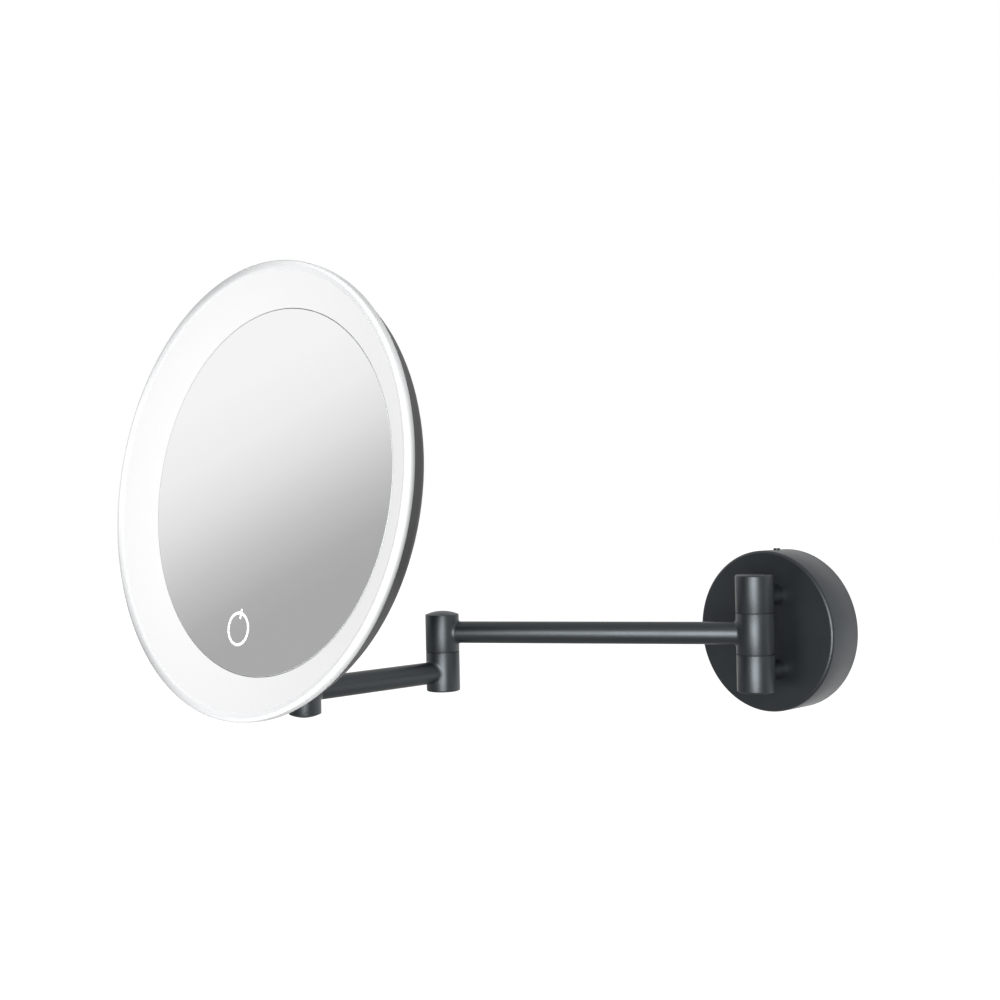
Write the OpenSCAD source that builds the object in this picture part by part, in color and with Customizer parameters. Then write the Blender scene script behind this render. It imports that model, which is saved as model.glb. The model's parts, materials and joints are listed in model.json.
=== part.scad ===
// Extendable wall-mounted shaving mirror with a lit acrylic ring.
// Origin: centre of the rosette on the wall plane. The wall is the plane y = 0,
// the mirror stands off it towards -Y, +X is to the right, +Z is up.

/* [Rosette] */
// Radius of the round wall cover
rosette_r = 40.6; // [36:0.5:48]
// Depth of the wall cover from the wall to its face
rosette_depth = 21.5; // [19:0.5:30]
// Wall thickness of the cover
rosette_wall = 2; // [1.5:0.1:2.5]
// Radius of the cover's front edge
rosette_edge = 1.2; // [0.6:0.1:1.8]
// Thickness of the bracket plate that is screwed to the wall
bracket_t = 2.5; // [2:0.1:3.5]
// Thickness of the bracket's rim
bracket_rim_t = 2.2; // [1.6:0.1:3]
// Distance between the two slotted wall screw holes
wall_hole_spacing = 46; // [40:1:50]
// Width of a wall screw slot
wall_slot_w = 5; // [4.2:0.1:6]
// End-to-end length of a wall screw slot
wall_slot_l = 10; // [7:0.5:12]
// Thickness of the stiffening plate behind the cover's face
stiffener_t = 3.5; // [2.5:0.1:4.5]
// Radius of the grub screw that locks the cover
grub_r = 1.65; // [1.5:0.05:2]
// Distance from the cover's face back to the grub screw
grub_setback = 12; // [5:0.5:14]
// How far the grub screw stands out of the rim
grub_proud = 0.8; // [0:0.1:1.2]

/* [Wall hinge] */
// Sideways offset of the hinge barrel from the rosette's centre
wall_axis_x = 7.2; // [0:0.2:12]
// Clear distance from the rosette's face to the hinge barrel's axis
standoff = 16.8; // [15:0.2:24]
// Radius of the hinge barrel
wall_barrel_r = 9.4; // [9:0.1:11]
// Height of the middle of the hinge barrel
wall_barrel_z = 0.85; // [-3:0.05:3]
// Height of the knuckle that carries the arm
mid_knuckle_h = 20.8; // [18:0.2:26]
// Height of each of the two fixed knuckles
fixed_knuckle_h = 18.3; // [17:0.1:22]
// Radius of the hinge pin
wall_pin_r = 3.5; // [2.5:0.1:4]
// How far the hinge pin reaches into each fixed knuckle
wall_pin_grip = 11; // [8:0.5:14]
// Radius of the two posts between rosette and barrel
post_r = 5; // [4.5:0.1:6]
// Height of each post above or below the rosette's centre
post_z = 18.8; // [17:0.2:22]
// Radius of the screws that hold the posts
post_screw_r = 2.5; // [2:0.1:3]
// Rounding of the barrel's end edges
barrel_edge = 0.8; // [0.3:0.1:1.2]

/* [Arms] */
// Outer radius of the arm tubes
tube_r = 5.6; // [5:0.05:6]
// Wall of the arm tubes
tube_wall = 1.5; // [1:0.1:2]
// Length of the first arm between its two hinge axes
arm1_len = 160; // [120:1:220]
// Direction of the first arm, measured from the wall
arm1_angle = 34.5; // [20:0.5:90]
// Length of the second arm between its two hinge axes
arm2_len = 86; // [70:1:130]
// Direction of the second arm, measured from the wall
arm2_angle = 90.6; // [70:0.2:110]
// Radius of the weld fillet where a tube meets a barrel
weld_fillet = 1.2; // [0.8:0.1:1.6]
// How far a tube reaches into a barrel's wall
tube_seat = 1.8; // [1:0.1:2]
// Height of the second arm's axis
arm2_z = -19.6; // [-22:0.1:-18]

/* [Elbow] */
// Radius of the elbow barrel
elbow_r = 8.7; // [8.4:0.1:10]
// Height of the elbow's top edge
elbow_top = 10.1; // [10:0.1:13]
// Height of the joint between the elbow's two barrels
elbow_split = -9; // [-9.5:0.1:-7.5]
// Height of the elbow's bottom edge
elbow_bottom = -29.5; // [-31:0.1:-27.5]
// Height of the domed caps
cap_dome = 1.8; // [1:0.1:2.6]
// Radius of the elbow bolt's shank
elbow_bolt_r = 3; // [2.5:0.1:3.3]
// Radius of the elbow bolt's head
elbow_head_r = 5; // [4.4:0.1:5.2]
// Depth of the recess for a bolt head, its washer and the cap
bolt_recess = 6.4; // [6.2:0.1:7]
// Height of a bolt head
bolt_head_h = 2.8; // [2.4:0.1:3]

/* [Head swivel] */
// Radius of the barrel under the mirror
swivel_r = 7.7; // [7.4:0.1:8.6]
// Height of the swivel's top edge
swivel_top = 9.1; // [8:0.1:12]
// Height of the joint between the swivel's two barrels
swivel_split = -10.7; // [-11.5:0.1:-9.5]
// Height of the swivel's bottom edge
swivel_bottom = -30.8; // [-33:0.1:-29.5]
// Radius of the swivel bolt's shank
swivel_bolt_r = 2.5; // [2:0.1:2.8]
// Radius of the swivel bolt's head
swivel_head_r = 4.2; // [3.6:0.1:4.4]
// Turn of the mirror about the swivel, 0 faces straight off the wall
head_yaw = 6.1; // [-10:0.1:20]
// Radius of the upright stem behind the mirror
stem_r = 5; // [4:0.1:5.4]
// Wall of the stem tube
stem_wall = 1.2; // [0.9:0.1:1.4]
// How far the stem sits in the swivel barrel
stem_seat = 6.3; // [5:0.1:7]

/* [Ball joint] */
// Height of the ball's centre
ball_z = 72.8; // [68:0.2:80]
// Radius of the ball
ball_r = 6; // [5.5:0.1:6.5]
// Radius of the neck under the ball
ball_neck_r = 2.6; // [2.2:0.1:2.8]
// Wall of the nylon seat round the ball
seat_wall = 1.95; // [1.5:0.05:2.2]
// Half the height of the nylon seat
seat_half_h = 3.3; // [2.8:0.1:3.6]
// Wall of the socket round the seat
socket_wall = 2.95; // [2.4:0.05:3.2]
// Half angle of the socket's opening for the neck
socket_opening = 46; // [44:1:47]
// Lean of that opening towards the back
socket_lean = 16; // [14:1:18]
// Radius of the socket's foot on the housing
socket_foot_r = 17; // [15:0.5:20]
// Thickness of the socket's foot
socket_foot_t = 2.4; // [2:0.1:3]
// Tilt of the mirror, 0 is upright and more leans it back
head_tilt = 7.3; // [1:0.1:20]
// Turn of the mirror in its own plane
head_roll = -10; // [-15:1:15]

/* [Mirror head] */
// Distance from the glass front back to the ball's centre
ball_back = 21.5; // [20:0.1:26]
// Radius of the mirror glass
glass_r = 85.7; // [80:0.1:92]
// Thickness of the mirror glass
glass_t = 4; // [3:0.1:5]
// Clearance round the glass
glass_gap = 0.4; // [0.2:0.05:0.6]
// Width of the acrylic ring from the glass to its rim
ring_w = 20.4; // [16:0.1:23]
// Height of the ring's rim in front of the glass
ring_rise = 11; // [9:0.1:13]
// Rounding of the ring's rim
ring_edge = 1.2; // [0.6:0.1:1.6]
// Thickness of the ring at its inner edge
ring_inner_t = 4.2; // [3.6:0.1:5]
// Depth of the ring's side at the rim
ring_side = 4.2; // [3.4:0.1:5]
// Distance from the glass front back to the housing's flat back
back_depth = 10.5; // [10:0.1:11]
// Radius of the round between the housing's wall and back
back_round = 17; // [15:0.5:18]
// Distance from the housing's rim in to the centre of that round
back_round_in = 19.1; // [18:0.1:20.5]
// Wall of the rear housing
housing_wall = 2; // [1.6:0.1:2.2]
// Thickness of the carrier plate behind the glass
carrier_t = 1.4; // [1:0.1:1.6]
// How far the carrier plate stays inside the edge of the glass
carrier_in = 3.7; // [3.3:0.1:8]
// Thickness of the adhesive pad between glass and carrier
pad_t = 0.6; // [0.4:0.1:0.8]
// Number of screws between housing and carrier
housing_screw_n = 6; // [4:1:8]
// Distance of those screws in from the carrier's edge
housing_screw_in = 11.2; // [8:0.1:14]
// Number of light-emitting diodes
led_n = 48; // [24:1:72]
// Width of the ring-shaped LED board
led_board_w = 5.6; // [5:0.1:6]
// Number of screws in the socket's foot
socket_screw_n = 4; // [3:1:6]

/* [Power] */
// Distance of the power mark's centre in from the edge of the glass
symbol_in = 19.6; // [16:0.1:26]
// Outer radius of the power mark
symbol_r = 8.4; // [7:0.1:10]
// Line width of the power mark
symbol_line = 1.4; // [1:0.1:2]
// Length of the short bar of the power mark
symbol_bar = 5.4; // [4:0.1:7]
// Depth of the frosted power mark in the glass
symbol_depth = 0.3; // [0.2:0.05:0.5]
// Width of a battery cell
cell_w = 34; // [28:1:40]
// Height of a battery cell
cell_h = 62; // [40:1:70]
// Thickness of a battery cell
cell_t = 2.3; // [1.8:0.1:2.3]
// Distance of each cell's middle to the side of the centre line
cell_side = 41; // [38:0.5:44]
// Width of the charging port's mouth
port_w = 9; // [8.4:0.1:9.6]
// Height of the charging port's mouth
port_h = 3.4; // [3:0.1:3.8]
// Sideways place of the charging port
port_x = 42; // [36:0.5:46]
// Upright place of the charging port
port_y = -50; // [-54:0.5:-44]
// Thickness of the port's rubber flap
flap_t = 1.4; // [1:0.1:1.8]

/* [Fits] */
// Radial clearance of a turning fit
run_gap = 0.05; // [0.02:0.01:0.1]
// Radial clearance of a seated or pressed fit
seat_gap = 0.02; // [0.01:0.01:0.03]
// Clearance between the cover and the bracket
cover_gap = 0.3; // [0.2:0.05:0.4]
// Thickness of the nylon washers between barrels
washer_t = 0.4; // [0.3:0.05:0.6]
// How far a washer stays back from the barrel's surface
washer_recess = 0.4; // [0.2:0.1:0.8]

/* [Hidden] */
$fn = 96;
eps = 0.01;

black = "#2b3032";
steel = "#a9adb0";
nylon = "#2c2e30";
plastic = "#35393b";

// wall side
face_y = -rosette_depth;
axis_y = face_y - standoff;
mid_top = wall_barrel_z + mid_knuckle_h / 2;
mid_bottom = wall_barrel_z - mid_knuckle_h / 2;
cover_in_r = rosette_r - rosette_wall;
bracket_r = cover_in_r - cover_gap;
bracket_depth = rosette_depth - rosette_wall - 1.5;
stiffener_r = bracket_r - bracket_rim_t - 0.7;
post_screw_head_r = 1.7 * post_screw_r;
post_screw_head_h = 1.2 * post_screw_r;
post_screw_reach = 6.5;

// elbow
elbow_floor = elbow_top - bolt_recess;
spring_t = 0.9;
elbow_bolt_end = elbow_bottom + 4.5;
cap_plug = 2;
swivel_floor = swivel_bottom + bolt_recess;
swivel_bolt_end = swivel_top - stem_seat - 1.2;
recess_gap = 0.5;
weld_bite = 0.3;

// ball joint
seat_r = ball_r + run_gap + seat_wall;
cavity_r = seat_r + run_gap;
socket_r = cavity_r + socket_wall;
stud_collar_h = 2;
stud_plug = 8;
stem_top = ball_z - socket_r - 1 - stud_collar_h;
clamp_slit = 0.5;
ear_r = 3.2;
ear_x = socket_r + 1.8;
ear_front = 4;
ear_back = 4;
clamp_screw_r = 1.25;

// mirror head, on the disc's own axis: z = 0 is the front of the glass
ball_at = -ball_back;
ring_in_r = glass_r + glass_gap;
ring_r = glass_r + ring_w;
rim_z = ring_rise - ring_side;
rim_r = ring_r - 0.2;
back_round_at = rim_r - back_round_in;
carrier_r = glass_r - carrier_in;
housing_screw_at = carrier_r - housing_screw_in;
symbol_at = glass_r - symbol_in;
back_z = -back_depth;
floor_z = back_z + housing_wall;
round_z = back_z + back_round;
rim_dx = rim_r - back_round_at;
rim_dz = rim_z - round_z;
wall_lean = acos(back_round / norm([rim_dx, rim_dz])) - atan2(rim_dz, rim_dx);
pad_z = -glass_t - pad_t;
carrier_z = pad_z - carrier_t;
led_out_r = back_round_at + 1.8;
led_board_z = floor_z + 0.15;
led_board_t = 1.2;
led_h = 0.8;
led_w = 2.8;
led_l = 3.5;
board_z = floor_z + 0.2;
board_w = 44;
board_h = 20;
board_t = 1.2;
socket_screw_at = socket_foot_r - 4;
screw_r = 1.5;
screw_head_r = 2.75;
screw_head_h = 1.6;

// place of each moving group
module at_wall_axis() { translate([wall_axis_x, axis_y, 0]) children(); }
module along_arm1() { at_wall_axis() rotate([0, 0, 180 + arm1_angle]) children(); }
module at_elbow() { along_arm1() translate([arm1_len, 0, 0]) rotate([0, 0, -180 - arm1_angle]) children(); }
module along_arm2() { at_elbow() rotate([0, 0, 180 + arm2_angle]) children(); }
module at_swivel() {
    along_arm2() translate([arm2_len, 0, 0]) rotate([0, 0, -180 - arm2_angle + head_yaw]) children();
}
module at_ball() { at_swivel() translate([0, 0, ball_z]) rotate([-head_tilt, 0, 0]) children(); }
module on_disc() { at_ball() rotate([90, 0, 0]) rotate([0, 0, head_roll]) translate([0, 0, ball_back]) children(); }

// solid of revolution between two heights with rounded edges
module round_barrel(r, low, high, low_e, high_e) {
    rotate_extrude() {
        translate([0, low + low_e]) square([r, high - low - low_e - high_e]);
        if (high_e > 0) {
            translate([0, high - high_e - eps]) square([r - high_e, high_e + eps]);
            intersection() {
                translate([r - high_e, high - high_e]) circle(high_e);
                translate([r - high_e - eps, high - high_e - eps]) square(high_e + 2 * eps);
            }
        }
        if (low_e > 0) {
            translate([0, low]) square([r - low_e, low_e + eps]);
            intersection() {
                translate([r - low_e, low + low_e]) circle(low_e);
                translate([r - low_e - eps, low - eps]) square(low_e + 2 * eps);
            }
        }
    }
}

// bore along z
module bore(r, low, high) { translate([0, 0, low]) cylinder(h = high - low, r = r); }

// flat ring between two radii
module ring_disc(r_out, r_in, low, high) {
    difference() {
        bore(r_out, low, high);
        bore(r_in, low - 1, high + 1);
    }
}

// shallow dome standing on z = 0
module dome(r, h) {
    ball = (r * r + h * h) / (2 * h);
    intersection() {
        translate([0, 0, h - ball]) sphere(ball);
        cylinder(h = h + 1, r = r);
    }
}

// concave weld fillet round a tube that leaves a barrel along +X
module weld_neck(barrel_r) {
    low = barrel_r / 4;
    high = barrel_r + weld_fillet - weld_bite;
    rotate([0, 90, 0]) rotate_extrude() difference() {
        translate([0, low]) square([tube_r + weld_fillet, high - low]);
        translate([tube_r + weld_fillet, high]) circle(weld_fillet);
    }
}

// blind seat for a tube in a barrel's wall
module tube_socket(barrel_r) {
    translate([barrel_r - tube_seat, 0, 0]) rotate([0, 90, 0])
        cylinder(h = tube_seat + weld_fillet + 1, r = tube_r + seat_gap);
}

// tube between two barrels that stand len apart
module arm_tube(len, r_from, r_to) {
    from = r_from - tube_seat + seat_gap;
    to = len - r_to + tube_seat - seat_gap;
    translate([from, 0, 0]) rotate([0, 90, 0]) difference() {
        cylinder(h = to - from, r = tube_r);
        translate([0, 0, -1]) cylinder(h = to - from + 2, r = tube_r - tube_wall);
    }
}

// ---- rosette ----
module wall_bracket() {
    color(steel) rotate([90, 0, 0]) difference() {
        union() {
            bore(bracket_r, 0, bracket_t);
            ring_disc(bracket_r, bracket_r - bracket_rim_t, 0, bracket_depth);
        }
        for (side = [-1, 1]) translate([side * wall_hole_spacing / 2, 0, -1]) {
            for (end = [-1, 1])
                translate([end * (wall_slot_l - wall_slot_w) / 2, 0, 0])
                    cylinder(h = bracket_t + 2, r = wall_slot_w / 2);
            translate([-(wall_slot_l - wall_slot_w) / 2, -wall_slot_w / 2, 0])
                cube([wall_slot_l - wall_slot_w, wall_slot_w, bracket_t + 2]);
        }
    }
}

module grub_hole(r, low, high) {
    translate([0, face_y + grub_setback, 0]) bore(r, low, high);
}

module rosette_cover() {
    color(black) difference() {
        rotate([90, 0, 0]) difference() {
            round_barrel(rosette_r, 0, rosette_depth, 0, rosette_edge);
            bore(cover_in_r, -1, rosette_depth - rosette_wall);
        }
        for (side = [-1, 1]) translate([wall_axis_x, 0, side * post_z]) rotate([90, 0, 0])
            bore(post_screw_r + 0.2, rosette_depth - rosette_wall - 1, rosette_depth + 1);
        grub_hole(grub_r + seat_gap, cover_in_r - 2, rosette_r + 2);
    }
}

module cover_grub_screw() {
    color(black) grub_hole(grub_r, bracket_r + run_gap, rosette_r + grub_proud);
}

module stiffener_plate() {
    back = rosette_depth - rosette_wall - stiffener_t;
    color(steel) rotate([90, 0, 0]) difference() {
        bore(stiffener_r, back, back + stiffener_t - seat_gap);
        for (side = [-1, 1]) translate([wall_axis_x, side * post_z, 0])
            bore(post_screw_r + 0.2, back - 1, back + stiffener_t + 1);
    }
}

module post_screws() {
    back = rosette_depth - rosette_wall - stiffener_t;
    color(steel) for (side = [-1, 1]) translate([wall_axis_x, 0, side * post_z]) rotate([90, 0, 0]) {
        bore(post_screw_head_r, back - post_screw_head_h, back - seat_gap);
        bore(post_screw_r, back - post_screw_head_h, rosette_depth + post_screw_reach);
    }
}

module post(side) {
    color(black) difference() {
        translate([wall_axis_x, 0, side * post_z]) rotate([90, 0, 0])
            bore(post_r, rosette_depth + seat_gap, rosette_depth + standoff);
        translate([wall_axis_x, 0, side * post_z]) rotate([90, 0, 0])
            bore(post_screw_r + seat_gap, rosette_depth - 1, rosette_depth + post_screw_reach + 0.3);
        at_wall_axis() bore(wall_barrel_r + seat_gap, mid_bottom - fixed_knuckle_h, mid_top + fixed_knuckle_h);
    }
}

module upper_post() { post(1); }

module lower_post() { post(-1); }

// ---- wall hinge ----
module upper_wall_knuckle() {
    color(black) at_wall_axis() difference() {
        round_barrel(wall_barrel_r, mid_top, mid_top + fixed_knuckle_h, 0, barrel_edge);
        bore(wall_pin_r + seat_gap, mid_top - 1, mid_top + wall_pin_grip + 0.3);
    }
}

module lower_wall_knuckle() {
    color(black) at_wall_axis() difference() {
        round_barrel(wall_barrel_r, mid_bottom - fixed_knuckle_h, mid_bottom, barrel_edge, 0);
        bore(wall_pin_r + seat_gap, mid_bottom - wall_pin_grip - 0.3, mid_bottom + 1);
    }
}

module wall_hinge_pin() {
    color(steel) at_wall_axis() bore(wall_pin_r, mid_bottom - wall_pin_grip, mid_top + wall_pin_grip);
}

module wall_hinge_washers() {
    color(nylon) at_wall_axis() {
        ring_disc(wall_barrel_r - washer_recess, wall_pin_r + seat_gap,
            mid_top - washer_t + run_gap, mid_top - seat_gap);
        ring_disc(wall_barrel_r - washer_recess, wall_pin_r + seat_gap,
            mid_bottom + seat_gap, mid_bottom + washer_t - run_gap);
    }
}

// ---- first arm ----
module wall_arm_knuckle() {
    color(black) along_arm1() difference() {
        union() {
            round_barrel(wall_barrel_r, mid_bottom + washer_t, mid_top - washer_t, 0, 0);
            translate([0, 0, wall_barrel_z]) weld_neck(wall_barrel_r);
        }
        bore(wall_pin_r + run_gap, mid_bottom - 1, mid_top + 1);
        translate([0, 0, wall_barrel_z]) tube_socket(wall_barrel_r);
    }
}

module wall_arm_tube() {
    color(black) along_arm1() translate([0, 0, wall_barrel_z])
        arm_tube(arm1_len, wall_barrel_r, elbow_r);
}

module elbow_upper_barrel() {
    color(black) at_elbow() difference() {
        union() {
            bore(elbow_r, elbow_split + washer_t / 2, elbow_top);
            translate([0, 0, wall_barrel_z]) rotate([0, 0, arm1_angle]) weld_neck(elbow_r);
        }
        bore(elbow_bolt_r + run_gap, elbow_split - 1, elbow_top);
        bore(elbow_head_r + recess_gap, elbow_floor, elbow_top + 1);
        translate([0, 0, wall_barrel_z]) rotate([0, 0, arm1_angle]) tube_socket(elbow_r);
    }
}

module elbow_cap() {
    color(black) at_elbow() {
        translate([0, 0, elbow_top + seat_gap]) dome(elbow_r - 0.1, cap_dome);
        bore(elbow_head_r + recess_gap - seat_gap, elbow_top - cap_plug, elbow_top + 2 * seat_gap);
    }
}

// ---- elbow and second arm ----
module elbow_bolt() {
    under = elbow_floor + run_gap + spring_t + seat_gap;
    color(steel) at_elbow() {
        bore(elbow_head_r, under, under + bolt_head_h);
        bore(elbow_bolt_r, elbow_bolt_end, under + 1);
    }
}

module elbow_spring_washer() {
    color(steel) at_elbow()
        ring_disc(elbow_head_r, elbow_bolt_r + seat_gap, elbow_floor + run_gap, elbow_floor + run_gap + spring_t);
}

module elbow_washer() {
    color(nylon) at_elbow() ring_disc(elbow_r - washer_recess, elbow_bolt_r + seat_gap,
        elbow_split - washer_t / 2 + seat_gap, elbow_split + washer_t / 2 - run_gap);
}

module elbow_lower_barrel() {
    color(black) at_elbow() difference() {
        union() {
            round_barrel(elbow_r, elbow_bottom, elbow_split - washer_t / 2, barrel_edge, 0);
            translate([0, 0, arm2_z]) rotate([0, 0, 180 + arm2_angle]) weld_neck(elbow_r);
        }
        bore(elbow_bolt_r + seat_gap, elbow_bolt_end - 0.3, elbow_split + 1);
        translate([0, 0, arm2_z]) rotate([0, 0, 180 + arm2_angle]) tube_socket(elbow_r);
    }
}

module mirror_arm_tube() {
    color(black) along_arm2() translate([0, 0, arm2_z]) arm_tube(arm2_len, elbow_r, swivel_r);
}

// direction from the swivel back to the elbow, seen in the swivel's own frame
back_to_elbow = arm2_angle - head_yaw;

module swivel_lower_barrel() {
    color(black) at_swivel() difference() {
        union() {
            bore(swivel_r, swivel_bottom, swivel_split - washer_t / 2);
            translate([0, 0, arm2_z]) rotate([0, 0, back_to_elbow]) weld_neck(swivel_r);
        }
        bore(swivel_bolt_r + run_gap, swivel_bottom, swivel_split + 1);
        bore(swivel_head_r + recess_gap, swivel_bottom - 1, swivel_floor);
        translate([0, 0, arm2_z]) rotate([0, 0, back_to_elbow]) tube_socket(swivel_r);
    }
}

module swivel_cap() {
    color(black) at_swivel() {
        translate([0, 0, swivel_bottom - seat_gap]) mirror([0, 0, 1]) dome(swivel_r - 0.1, cap_dome);
        bore(swivel_head_r + recess_gap - seat_gap, swivel_bottom - 2 * seat_gap, swivel_bottom + cap_plug);
    }
}

module swivel_washer() {
    color(nylon) at_swivel() ring_disc(swivel_r - washer_recess, swivel_bolt_r + run_gap,
        swivel_split - washer_t / 2 + seat_gap, swivel_split + washer_t / 2 - run_gap);
}

// ---- swivel, stem and ball ----
module swivel_bolt() {
    under = swivel_floor - run_gap - spring_t - seat_gap;
    color(steel) at_swivel() {
        bore(swivel_head_r, under - bolt_head_h, under);
        bore(swivel_bolt_r, under - 1, swivel_bolt_end);
    }
}

module swivel_spring_washer() {
    color(steel) at_swivel() ring_disc(swivel_head_r, swivel_bolt_r + seat_gap,
        swivel_floor - run_gap - spring_t, swivel_floor - run_gap);
}

module swivel_upper_barrel() {
    color(black) at_swivel() difference() {
        round_barrel(swivel_r, swivel_split + washer_t / 2, swivel_top, 0, barrel_edge);
        bore(swivel_bolt_r + seat_gap, swivel_split - 1, swivel_bolt_end + 0.2);
        bore(stem_r + seat_gap, swivel_top - stem_seat, swivel_top + 1);
    }
}

module stem_tube() {
    color(black) at_swivel()
        ring_disc(stem_r, stem_r - stem_wall, swivel_top - stem_seat + seat_gap, stem_top);
}

module ball_stud() {
    color(steel) at_swivel() {
        bore(stem_r - stem_wall - seat_gap, stem_top - stud_plug, stem_top + seat_gap);
        bore(stem_r, stem_top + seat_gap, stem_top + stud_collar_h);
        bore(ball_neck_r, stem_top + stud_collar_h - 1, ball_z);
        translate([0, 0, ball_z]) sphere(ball_r);
    }
}

module ball_seat() {
    color(nylon) at_ball() difference() {
        intersection() {
            sphere(seat_r);
            bore(seat_r + 1, -seat_half_h, seat_half_h);
        }
        sphere(ball_r + run_gap);
    }
}

// ---- socket on the housing, along the disc's axis, ball centre at z = ball_at ----
module socket_cavity() {
    translate([0, 0, ball_at]) {
        sphere(cavity_r);
        rotate([90 + socket_lean, 0, 0])
            cylinder(h = socket_r + 4, r1 = 0, r2 = (socket_r + 4) * tan(socket_opening));
    }
}

module socket_ears(low, high) {
    for (side = [-1, 1]) {
        translate([side * ear_x, 0, 0]) bore(ear_r, low, high);
        translate([side > 0 ? 0 : -ear_x, -ear_r, low]) cube([ear_x, 2 * ear_r, high - low]);
    }
}

module clamp_screw_bores(r, low, high) {
    for (side = [-1, 1]) translate([side * ear_x, 0, 0]) bore(r, low, high);
}

module socket_screw_places() {
    for (i = [0 : socket_screw_n - 1]) rotate([0, 0, 45 + i * 360 / socket_screw_n])
        translate([socket_screw_at, 0, 0]) children();
}

module socket_body() {
    split = ball_at + clamp_slit / 2;
    color(plastic) on_disc() difference() {
        union() {
            intersection() {
                translate([0, 0, ball_at]) sphere(socket_r);
                bore(socket_r + 1, split, back_z);
            }
            bore(socket_r - 1, ball_at + socket_r / 2, back_z - seat_gap);
            bore(socket_foot_r, back_z - socket_foot_t, back_z - seat_gap);
            socket_ears(split, split + ear_front);
        }
        socket_cavity();
        clamp_screw_bores(clamp_screw_r + seat_gap, split - 1, split + ear_front - 0.8);
        socket_screw_places() bore(screw_r - 0.1, back_z - socket_foot_t - 1, back_z + 1);
    }
}

module socket_clamp() {
    split = ball_at - clamp_slit / 2;
    color(plastic) on_disc() difference() {
        union() {
            intersection() {
                translate([0, 0, ball_at]) sphere(socket_r);
                bore(socket_r + 1, ball_at - socket_r - 1, split);
            }
            socket_ears(split - ear_back, split);
        }
        socket_cavity();
        clamp_screw_bores(clamp_screw_r + 0.15, split - ear_back - 1, split + 1);
    }
}

module clamp_screws() {
    head = ball_at - clamp_slit / 2 - ear_back - seat_gap;
    color(steel) on_disc() {
        clamp_screw_bores(2.3, head - 1.8, head);
        clamp_screw_bores(clamp_screw_r, head - 1, ball_at + clamp_slit / 2 + ear_front - 1);
    }
}

module socket_screws() {
    color(steel) on_disc() socket_screw_places() {
        bore(screw_head_r, floor_z + seat_gap, floor_z + screw_head_h);
        bore(screw_r - 0.15, back_z - socket_foot_t + 0.2, floor_z + 0.5);
    }
}

// ---- rear housing ----
// half section of the bowl, for wall thickness 0 or housing_wall
module bowl_section(wall) {
    r = back_round - wall;
    lean_x = r * cos(wall_lean);
    lean_z = r * sin(wall_lean);
    rim_x = rim_r - wall / cos(wall_lean);
    polygon([[0, round_z - r], [back_round_at, round_z - r], [back_round_at + lean_x, round_z - lean_z],
        [rim_x, rim_z], [0, rim_z]]);
    intersection() {
        translate([back_round_at, round_z]) circle(r, $fn = 180);
        translate([back_round_at - 1, round_z - r]) square([r + 1, r - lean_z]);
    }
}

module housing_screw_places() {
    for (i = [0 : housing_screw_n - 1]) rotate([0, 0, -90 + (i + 0.5) * 360 / housing_screw_n])
        translate([housing_screw_at, 0, 0]) children();
}

module port_opening(grow, low, high) {
    w = port_w + 2 * grow;
    h = port_h + 2 * grow;
    translate([port_x, port_y, 0]) {
        for (side = [-1, 1]) translate([side * (w - h) / 2, 0, 0]) bore(h / 2, low, high);
        translate([-(w - h) / 2, -h / 2, low]) cube([w - h, h, high - low]);
    }
}

module rear_housing() {
    color(plastic) on_disc() difference() {
        rotate_extrude($fn = 180) difference() {
            bowl_section(0);
            bowl_section(housing_wall);
            translate([0, rim_z - eps]) square([rim_r, 1]);
        }
        housing_screw_places() {
            bore(screw_r + 0.1, back_z - 1, floor_z + 1);
            bore(screw_head_r + 0.1, back_z - 1, back_z + screw_head_h * 0.6);
        }
        socket_screw_places() bore(screw_r, back_z - 1, floor_z + 1);
        port_opening(0.3, back_z - 1, floor_z + 1);
        translate([anchor_x, port_y, 0]) bore(anchor_r + seat_gap, back_z - 1, floor_z + 1);
    }
}

module housing_screws() {
    head = back_z + screw_head_h * 0.6 - seat_gap;
    color(steel) on_disc() housing_screw_places() {
        bore(screw_head_r, head - screw_head_h * 0.6 + seat_gap, head);
        bore(screw_r - 0.3, head - 0.5, carrier_z + carrier_t * 0.6);
    }
}

// ---- acrylic ring and its light ----
// the ring's rear face runs from its inner edge to the housing rim
ring_rear_in = ring_in_r + 1.8;
ring_rear_out = rim_r - 2.6;
ring_top_r = ring_r - ring_edge;
ring_top_z = ring_rise - ring_edge;
front_lean = atan2(ring_top_z, ring_top_r - ring_in_r);

module light_ring() {
    color("#f2f4f4", 0.85) on_disc() rotate_extrude($fn = 180) {
        polygon([[ring_in_r, 0], [ring_in_r, -ring_inner_t], [ring_rear_in, -ring_inner_t],
            [ring_rear_out, rim_z + seat_gap], [ring_r, rim_z + seat_gap], [ring_r, ring_top_z],
            [ring_top_r, ring_top_z],
            [ring_top_r - ring_edge * sin(front_lean), ring_top_z + ring_edge * cos(front_lean)]]);
        intersection() {
            translate([ring_top_r, ring_top_z]) circle(ring_edge);
            translate([ring_top_r - ring_edge, ring_top_z - eps]) square(2 * ring_edge);
        }
    }
}

reflector_t = 0.8;
reflector_gap = 0.4;
rear_lean = atan2(rim_z + ring_inner_t, ring_rear_out - ring_rear_in);

// point at distance along the ring's rear face and depth behind it
function behind_ring(along, depth) = [
    ring_rear_in + along * cos(rear_lean) + depth * sin(rear_lean),
    -ring_inner_t + along * sin(rear_lean) - depth * cos(rear_lean)];

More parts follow.
